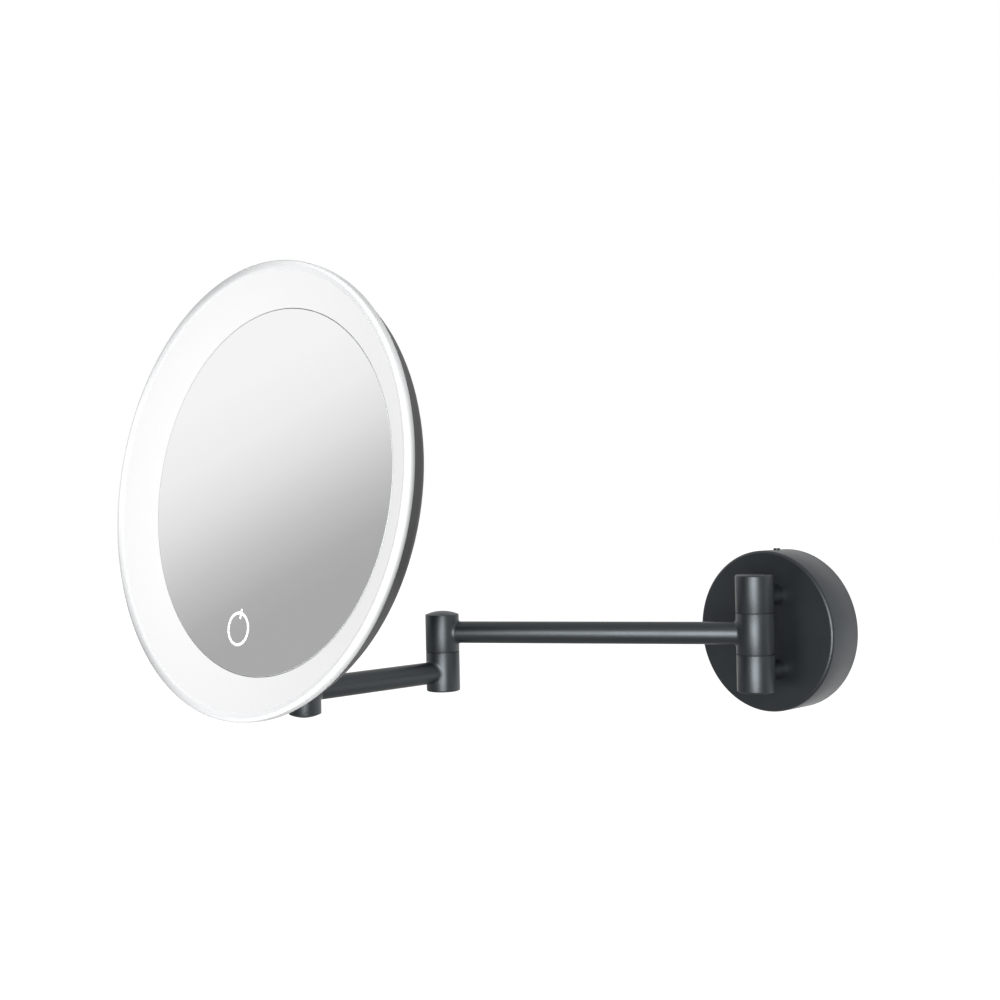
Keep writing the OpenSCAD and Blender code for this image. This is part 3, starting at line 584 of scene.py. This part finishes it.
class MIRROR_OT_light_parts(bpy.types.Operator):
    """Give the parts inside the head their finishes"""
    bl_idname = "shaving_mirror.light_parts"
    bl_label = "Parts inside the head"

    def execute(self, context):
        # white polycarbonate, moulded: even and matt, so it spreads the light
        white = grained("white_polycarbonate", linear("#EEF0EF"), 0.5, grain_mm=0.4, tint=0.02,
                        ior=1.58)
        for node in ("ring_reflector", "led_board", "carrier_plate"):
            dress(node, white)
        # yellow phosphor under clear silicone
        dress("leds", grained("phosphor_silicone", linear("#FFF3CF"), 0.2, grain_mm=1.0, tint=0.03))
        # closed-cell foam tape: dull, with open pores at its cut edge
        dress("adhesive_pad", grained("foam_tape", linear("#C9CBCA"), 0.9, grain_mm=0.4,
                                      grain_height_mm=0.05))
        # rolled copper foil, slightly dulled
        dress("touch_pad", grained("copper_foil", linear("#C98B5C"), 0.35, metallic=1.0, grain_mm=0.5))
        # carbon-filled foam: dull dark grey
        dress("touch_contact", grained("conductive_foam", linear("#4A4D4F"), 0.85, grain_mm=0.5,
                                       grain_height_mm=0.05))
        # green solder mask over glass-fibre board: glossy with a faint weave
        dress("control_board", grained("solder_mask", linear("#24613A"), 0.35, grain_mm=1.2,
                                       patch_mm=4))
        # aluminium pouch foil, pressed: soft creases
        dress("battery_cells", grained("pouch_foil", linear("#B9BDC1"), 0.32, metallic=1.0, grain_mm=2.0,
                                       grain_height_mm=0.03, patch_mm=9))
        # soft moulded rubber: dull black
        rubber = grained("moulded_rubber", linear("#17191B"), 0.75, grain_mm=0.3,
                         grain_height_mm=0.02)
        for node in ("port_flap", "flap_anchor"):
            dress(node, rubber)
        return {"FINISHED"}


class MIRROR_OT_rosette(bpy.types.Operator):
    """Turn the round wall cover with its softly rounded front edge"""
    bl_idname = "shaving_mirror.rosette"
    bl_label = "Rosette"

    def execute(self, context):
        size = context.scene.mirror_metalwork
        radius, depth, wall = size.rosette_radius, size.rosette_depth, size.rosette_wall
        rear_edge = 0.25 * MM
        bm = turn(outline([(0, depth), (radius, depth), (radius, 0), (radius - wall, 0),
                           (radius - wall, depth - wall), (0, depth - wall)]), 192)
        soften(bm, size.rosette_edge, 6, where=lambda p: p.z > depth - NEAR)
        soften(bm, rear_edge, 2, sharper_than=60, where=lambda p: p.z < NEAR)
        out_of_wall = Matrix(((1, 0, 0), (0, 0, 1), (0, -1, 0))).transposed().to_4x4()
        coated(bm, "rosette_shell", "wall_mount", "rosette_cover", out_of_wall)
        return {"FINISHED"}


class MIRROR_OT_wall_hinge(bpy.types.Operator):
    """Turn the two fixed knuckles and the swinging knuckle with its weld"""
    bl_idname = "shaving_mirror.wall_hinge"
    bl_label = "Wall hinge"

    def execute(self, context):
        size = context.scene.mirror_metalwork
        radius, pin, pin_depth = size.hinge_radius, 3.52 * MM, 11.3 * MM
        place = at_hinge(WALL_AXIS)
        low, high = heights("upper_wall_knuckle")
        coated(blind_barrel(size, radius, pin, low + pin_depth, seam=low, end=high),
               "hinge_knuckle_top", "wall_mount", "upper_wall_knuckle", place)
        low, high = heights("lower_wall_knuckle")
        coated(blind_barrel(size, radius, pin, high - pin_depth, seam=high, end=low),
               "hinge_knuckle_bottom", "wall_mount", "lower_wall_knuckle", place)
        low, high = heights("wall_arm_knuckle")
        bm = barrel(size, radius, [(pin, low), (radius, low), (radius, high), (pin, high)],
                    closed=True, seams=[low, high])
        coated(welded(bm, size, radius, WALL_AXIS, ALONG_ARM_1, "wall_arm_tube"),
               "hinge_knuckle_middle", "wall_arm", "wall_arm_knuckle")
        return {"FINISHED"}


class MIRROR_OT_arms(bpy.types.Operator):
    """Draw the two arm tubes between their barrels"""
    bl_idname = "shaving_mirror.arms"
    bl_label = "Arm tubes"

    def execute(self, context):
        size = context.scene.mirror_metalwork
        seat = 1.7 * MM  # how far a tube's end reaches into its barrel
        for name, node, body, start, end, from_radius, to_radius in (
                ("arm_tube_wall_side", "wall_arm_tube", "wall_arm", WALL_AXIS, ELBOW_AXIS,
                 size.hinge_radius, size.elbow_radius),
                ("arm_tube_mirror_side", "mirror_arm_tube", "mirror_arm", ELBOW_AXIS, SWIVEL_AXIS,
                 size.elbow_radius, size.swivel_radius)):
            along = (end - start).normalized()
            length = (end - start).length - from_radius - to_radius + 2 * seat
            coated(tube(size, length), name, body, node,
                   lying(start + along * (from_radius - seat), along, middle_height(node)))
        return {"FINISHED"}


class MIRROR_OT_elbow(bpy.types.Operator):
    """Turn the elbow's two barrels, their welds and the domed cap"""
    bl_idname = "shaving_mirror.elbow"
    bl_label = "Elbow"

    def execute(self, context):
        size = context.scene.mirror_metalwork
        radius, recess, bolt = size.elbow_radius, 5.5 * MM, 3.05 * MM
        floor_thickness = 4.2 * MM
        low, high = heights("elbow_upper_barrel")
        bm = capped_barrel(size, radius, bolt, recess, seam=low, mouth=high)
        coated(welded(bm, size, radius, ELBOW_AXIS, -ALONG_ARM_1, "wall_arm_tube"),
               "elbow_barrel_top", "wall_arm", "elbow_upper_barrel")
        cap = moved(domed_cap(size, radius, recess), Matrix.Translation((0, 0, high + FIT)))
        coated(cap, "elbow_dome", "wall_arm", "elbow_cap", at_hinge(ELBOW_AXIS))
        low, high = heights("elbow_lower_barrel")
        bm = blind_barrel(size, radius, bolt, low + floor_thickness, seam=high, end=low)
        coated(welded(bm, size, radius, ELBOW_AXIS, ALONG_ARM_2, "mirror_arm_tube"),
               "elbow_barrel_bottom", "mirror_arm", "elbow_lower_barrel")
        return {"FINISHED"}


class MIRROR_OT_swivel(bpy.types.Operator):
    """Turn the barrels under the mirror, the domed cap and the stem"""
    bl_idname = "shaving_mirror.swivel"
    bl_label = "Swivel and stem"

    def execute(self, context):
        size = context.scene.mirror_metalwork
        radius, recess, bolt = size.swivel_radius, 4.7 * MM, 2.55 * MM
        stem, stem_wall, stem_edge = half_width("stem_tube"), 1.2 * MM, 0.25 * MM
        stem_seat, web = 6.3 * MM, 1.0 * MM
        place = at_hinge(SWIVEL_AXIS)
        low, high = heights("swivel_lower_barrel")
        bm = capped_barrel(size, radius, bolt, recess, seam=high, mouth=low)
        coated(welded(bm, size, radius, SWIVEL_AXIS, -ALONG_ARM_2, "mirror_arm_tube"),
               "swivel_barrel_bottom", "mirror_arm", "swivel_lower_barrel")
        upside_down = Matrix.Translation((0, 0, low - FIT)) @ Matrix.Rotation(math.pi, 4, "X")
        cap = moved(domed_cap(size, radius, recess), upside_down)
        coated(cap, "swivel_dome", "mirror_arm", "swivel_cap", place)
        # a web parts the bolt's bore from the seat that the stem stands in
        low, high = heights("swivel_upper_barrel")
        floor, socket = high - stem_seat, stem + FIT
        bm = barrel(size, radius, [(0, floor - web), (bolt, floor - web), (bolt, low), (radius, low),
                                   (radius, high), (socket, high), (socket, floor), (0, floor)],
                    seams=[low], ends=[high])
        coated(bm, "swivel_barrel_top", "head_stem", "swivel_upper_barrel", place)
        low, high = heights("stem_tube")
        bore = stem - stem_wall
        bm = turn(outline([(bore, low), (stem, low), (stem, high), (bore, high)], True), 96)
        soften(bm, stem_edge, 2)
        coated(bm, "head_stem_tube", "head_stem", "stem_tube", place)
        return {"FINISHED"}


class MIRROR_OT_light_ring(bpy.types.Operator):
    """Turn the dished opal ring and the clear lip round it"""
    bl_idname = "shaving_mirror.light_ring"
    bl_label = "Lit ring"

    def execute(self, context):
        size = context.scene.mirror_head
        glass_gap, inner_edge = 0.25 * MM, 0.3 * MM
        foot_depth, foot_width, undercut = 4.2 * MM, 1.8 * MM, 1.1 * MM
        crown_width, crown_fall, rim_round = 1.8 * MM, 0.05 * MM, 0.9 * MM
        place = on_head(size.ball_back)
        # the dished front rises in one slope from the glass, over the seam, to the lip's crown
        inner = size.glass_radius + glass_gap
        outer, rise = size.ring_radius, size.ring_rise
        back = rise - size.ring_side + FIT
        crown = outer - crown_width
        slope = rise / (crown - inner)
        seam = outer - size.lip_width
        seam_rise = (seam - inner) * slope
        bm = turn(outline([(inner, 0), (seam, seam_rise), (seam, back - undercut),
                           (inner + foot_width, -foot_depth), (inner, -foot_depth)], True), 256)
        soften(bm, inner_edge, 3, where=lambda p: abs(p.z) < NEAR)
        # the wall that meets the glass is grey, painted shade of the gap beside the glass, the rest is lit
        for face in bm.faces:
            middle = face.calc_center_median()
            face.material_index = 1 if math.hypot(middle.x, middle.y) < inner + NEAR else 0
        piece(bm, "opal_ring", [lit_acrylic(), grey_edge_gap_shade()], "mirror_head", "light_ring",
              place)

        bm = turn(outline([(seam, seam_rise), (seam, back), (outer, back), (outer, rise - crown_fall),
                           (crown, rise)], True), 256)
        soften(bm, rim_round, 5, sharper_than=40,
               where=lambda p: math.hypot(p.x, p.y) > outer - NEAR and p.z > back + NEAR)
        piece(bm, "clear_lip", [clear_acrylic()], "mirror_head", "light_ring", place,
              smooth_below=20.0)
        return {"FINISHED"}


class MIRROR_OT_glass(bpy.types.Operator):
    """Cut the mirror glass with its ground edge, and its frosted power mark"""
    bl_idname = "shaving_mirror.glass"
    bl_label = "Mirror glass"

    def execute(self, context):
        size = context.scene.mirror_head
        radius, thick, ground = size.glass_radius, size.glass_thickness, 0.2 * MM
        place = on_head(size.ball_back)
        # float glass silvered on its back: neutral and very smooth
        silver = grained("silvered_float_glass", linear("#FCFCFC"), 0.015, metallic=1.0, grain_mm=40,
                         grain_height_mm=0.0, patch_mm=80, tint=0.003, rough_swing=0.003)
        bm = turn(outline([(0, 0), (radius - ground, 0), (radius, -ground), (radius, -thick),
                           (0, -thick)]), 256)
        # the bevel, side and back take the grey edge, partly painted shade of the gap round the glass
        for face in bm.faces:
            face.material_index = 0 if face.normal.z > 0.95 else 1
        piece(bm, "silvered_glass", [silver, grey_edge_gap_shade()], "mirror_head",
              "mirror_glass", place, smooth_below=20.0)

        # etched through the silver and lit from behind: matt white
        frosted = grained("etched_frosting", linear("#F6F8F8"), 0.55, grain_mm=0.4, grain_height_mm=0.01)
        surface = frosted.node_tree.nodes["Principled BSDF"]
        surface.inputs["Emission Color"].default_value = linear("#FFFFFF")
        surface.inputs["Emission Strength"].default_value = 0.3
        outer, inner = size.mark_radius, size.mark_radius - size.mark_line
        deep, proud = -0.3 * MM, 0.04 * MM
        circle = turn(outline([(inner, deep), (outer, deep), (outer, proud), (inner, proud)], True), 96)
        bar_length, bar_edge = 4.7 * MM, 0.1 * MM
        bar_middle = outer - 0.95 * MM
        bar_lift = 0.01 * MM  # keeps the bar's face off the circle's
        bar = bmesh.new()
        bmesh.ops.create_cube(bar, size=1.0)
        bmesh.ops.scale(bar, verts=bar.verts[:], vec=(size.mark_line, bar_length, proud - deep))
        bmesh.ops.translate(bar, verts=bar.verts[:], vec=(0, bar_middle, (proud + deep) / 2 + bar_lift))
        soften(bar, bar_edge, 2)
        piece(joined(circle, bar), "power_symbol", [frosted], "mirror_head",
              "power_mark", place @ Matrix.Translation((0, -size.mark_drop, 0)))
        return {"FINISHED"}


class MIRROR_OT_back(bpy.types.Operator):
    """Finish the rear housing and the ball socket"""
    bl_idname = "shaving_mirror.back"
    bl_label = "Rear housing and socket"

    def execute(self, context):
        for node in ("rear_housing", "socket_body", "socket_clamp"):
            dress(node, moulded_abs())
        return {"FINISHED"}


class MIRROR_OT_stage(bpy.types.Operator):
    """Set up the floor, the studio light, the backdrop and the camera"""
    bl_idname = "shaving_mirror.stage"
    bl_label = "Studio"

    def execute(self, context):
        settings = context.scene.mirror_stage
        build_floor(settings)
        build_world()
        build_lamps(settings)
        build_camera()
        context.scene.view_settings.view_transform = "Standard"
        return {"FINISHED"}


def seen_directly(tree):
    """The light path, and a share that is 1 for rays that show the backdrop white: from the camera, or
    through something clear."""
    path = add(tree, "ShaderNodeLightPath")
    clear = add(tree, "ShaderNodeMath",
                {0: path.outputs["Is Camera Ray"], 1: path.outputs["Is Transmission Ray"]},
                operation="MAXIMUM")
    return path, clear.outputs[0]


def build_floor(settings):
    half_span = 30.0
    bm = bmesh.new()
    bmesh.ops.create_grid(bm, x_segments=settings.floor_steps, y_segments=settings.floor_steps,
                          size=half_span)
    bmesh.ops.translate(bm, verts=bm.verts[:], vec=(0, 0, -settings.floor_drop))
    mesh = bpy.data.meshes.new("studio_floor")
    bm.to_mesh(mesh)
    bm.free()
    floor = bpy.data.objects.new("studio_floor", mesh)
    bpy.context.scene.collection.objects.link(floor)
    # white paper sweep: its own shade and the soft shadow, lifted to white where it is seen
    material, tree = empty_material("white_paper_sweep")
    path, clear = seen_directly(tree)
    coords = add(tree, "ShaderNodeTexCoord")
    ground = add(tree, "ShaderNodeSeparateXYZ", {"Vector": coords.outputs["Object"]})
    # polished pieces mirror it white only from well behind the wall plane on, and grey in front
    behind = add(tree, "ShaderNodeMapRange", {"Value": ground.outputs["Y"]},
                 {"From Min": 0.7, "From Max": 1.9, "To Min": 0.02, "To Max": 1.0},
                 interpolation_type="SMOOTHSTEP")
    mirrored = add(tree, "ShaderNodeMath",
                   {0: path.outputs["Is Glossy Ray"], 1: behind.outputs["Result"]}, operation="MULTIPLY")
    shown = add(tree, "ShaderNodeMath", {0: clear, 1: mirrored.outputs[0]}, operation="MAXIMUM")
    surface = add(tree, "ShaderNodeBsdfDiffuse", values={"Color": linear("#D6D6D5")})
    seen = add(tree, "ShaderNodeEmission", {"Strength": shown.outputs[0]},
               {"Color": (0.78, 0.78, 0.78, 1)})
    both = add(tree, "ShaderNodeAddShader", {0: surface.outputs["BSDF"], 1: seen.outputs["Emission"]})
    add(tree, "ShaderNodeOutputMaterial", {"Surface": both.outputs["Shader"]})
    mesh.materials.append(material)


def build_world():
    world = bpy.data.worlds.new("studio")
    bpy.context.scene.world = world
    world.use_nodes = True
    tree = world.node_tree
    tree.nodes.clear()
    path, clear = seen_directly(tree)
    coords = add(tree, "ShaderNodeTexCoord")
    # what polished surfaces show of the room: white behind and above, falling to grey in front and below
    up_and_back = (-0.332, 0.596, 0.731)
    height = add(tree, "ShaderNodeVectorMath", {0: coords.outputs["Generated"]}, {1: up_and_back},
                 operation="DOT_PRODUCT")
    fall = add(tree, "ShaderNodeMapRange", {"Value": height.outputs["Value"]},
               {"From Min": -0.2, "From Max": 0.1})
    ramp = add(tree, "ShaderNodeValToRGB", {"Fac": fall.outputs["Result"]})
    greys = ((0.25, 0.41), (0.32, 0.44), (0.42, 0.56), (0.56, 0.77), (0.66, 0.87), (0.80, 0.93))
    stops = ramp.color_ramp.elements
    stops[0].position, stops[1].position = greys[0][0], greys[-1][0]
    for at, _ in greys[1:-1]:
        stops.new(at)
    for stop, (_, grey) in zip(stops, greys):
        stop.color = (grey, grey, grey, 1.0)
    # the ceiling straight overhead is dimmer
    upright = add(tree, "ShaderNodeSeparateXYZ", {"Vector": coords.outputs["Generated"]})
    ceiling = add(tree, "ShaderNodeMapRange", {"Value": upright.outputs["Z"]},
                  {"From Min": 0.35, "From Max": 0.95, "To Min": 1.0, "To Max": 0.65},
                  interpolation_type="SMOOTHSTEP")
    polished = add(tree, "ShaderNodeBackground",
                   {"Color": ramp.outputs["Color"], "Strength": ceiling.outputs["Result"]})
    fill = add(tree, "ShaderNodeBackground", values={"Color": (1, 1, 1, 1), "Strength": 0.5})
    plain = add(tree, "ShaderNodeBackground", values={"Color": (1, 1, 1, 1), "Strength": 1.0})
    mixed = add(tree, "ShaderNodeMixShader",
                {"Fac": path.outputs["Is Glossy Ray"], 1: fill.outputs[0], 2: polished.outputs[0]})
    shown = add(tree, "ShaderNodeMixShader", {"Fac": clear, 1: mixed.outputs[0], 2: plain.outputs[0]})
    add(tree, "ShaderNodeOutputWorld", {"Surface": shown.outputs[0]})


def build_lamps(settings):
    middle = Vector((-0.06, -0.12, 0.04))
    lamps = (
        # name, place, target, width, height, power in watts
        ("front_softbox", (0.42, -0.585, 0.04), middle, 0.32, 0.36, 3.8),
        ("side_softbox", (0.25, -0.73, 0.0), middle, 0.20, 0.28, 1.5),
        ("low_softbox", (0.40, -0.58, -0.24), middle, 0.25, 0.12, 1.0),
    )
    for name, place, target, width, height, power in lamps:
        data = bpy.data.lights.new(name, "AREA")
        data.shape = "RECTANGLE"
        data.size = width
        data.size_y = height
        data.energy = power * settings.lamp_scale
        lamp = bpy.data.objects.new(name, data)
        lamp.location = place
        lamp.rotation_euler = (target - Vector(place)).to_track_quat("-Z", "Y").to_euler()
        lamp.visible_camera = False
        bpy.context.scene.collection.objects.link(lamp)


def build_camera():
    azimuth, roll = math.radians(48.05), math.radians(-1.19)
    place = (0.4044, -0.5622, 0.0689)
    side = Vector((math.cos(azimuth), math.sin(azimuth), 0.0))
    up = Vector((0, 0, 1))
    right = math.cos(roll) * side + math.sin(roll) * up
    upward = -math.sin(roll) * side + math.cos(roll) * up
    data = bpy.data.cameras.new("studio_camera")
    data.sensor_width = 36.0
    data.lens = 47.27
    data.clip_start = 0.01
    data.clip_end = 200.0
    camera = bpy.data.objects.new("studio_camera", data)
    turned = Matrix((right, upward, right.cross(upward))).transposed().to_4x4()
    camera.matrix_world = Matrix.Translation(place) @ turned
    bpy.context.scene.collection.objects.link(camera)
    bpy.context.scene.camera = camera


class MIRROR_PT_panel(bpy.types.Panel):
    """Lists the pieces of the mirror"""
    bl_idname = "MIRROR_PT_panel"
    bl_label = "Shaving mirror"
    bl_space_type = "VIEW_3D"
    bl_region_type = "UI"
    bl_category = "Shaving mirror"

    def draw(self, context):
        for operator in OPERATORS:
            self.layout.operator(operator.bl_idname)
        for group in SETTINGS:
            box = self.layout.box()
            settings = getattr(context.scene, group)
            for name in settings.__annotations__:
                box.prop(settings, name)


OPERATORS = (
    MIRROR_OT_fixings,
    MIRROR_OT_light_parts,
    MIRROR_OT_rosette,
    MIRROR_OT_wall_hinge,
    MIRROR_OT_arms,
    MIRROR_OT_elbow,
    MIRROR_OT_swivel,
    MIRROR_OT_light_ring,
    MIRROR_OT_glass,
    MIRROR_OT_back,
    MIRROR_OT_stage,
)


def register():
    for group, settings in SETTINGS.items():
        bpy.utils.register_class(settings)
        setattr(bpy.types.Scene, group, PointerProperty(type=settings))
    for operator in OPERATORS:
        bpy.utils.register_class(operator)
    bpy.utils.register_class(MIRROR_PT_panel)


def unregister():
    bpy.utils.unregister_class(MIRROR_PT_panel)
    for operator in reversed(OPERATORS):
        bpy.utils.unregister_class(operator)
    for group, settings in SETTINGS.items():
        delattr(bpy.types.Scene, group)
        bpy.utils.unregister_class(settings)


def main():
    register()
    bpy.ops.shaving_mirror.fixings()
    bpy.ops.shaving_mirror.light_parts()
    bpy.ops.shaving_mirror.rosette()
    bpy.ops.shaving_mirror.wall_hinge()
    bpy.ops.shaving_mirror.arms()
    bpy.ops.shaving_mirror.elbow()
    bpy.ops.shaving_mirror.swivel()
    bpy.ops.shaving_mirror.light_ring()
    bpy.ops.shaving_mirror.glass()
    bpy.ops.shaving_mirror.back()
    bpy.ops.shaving_mirror.stage()


if __name__ == "__main__":
    main()
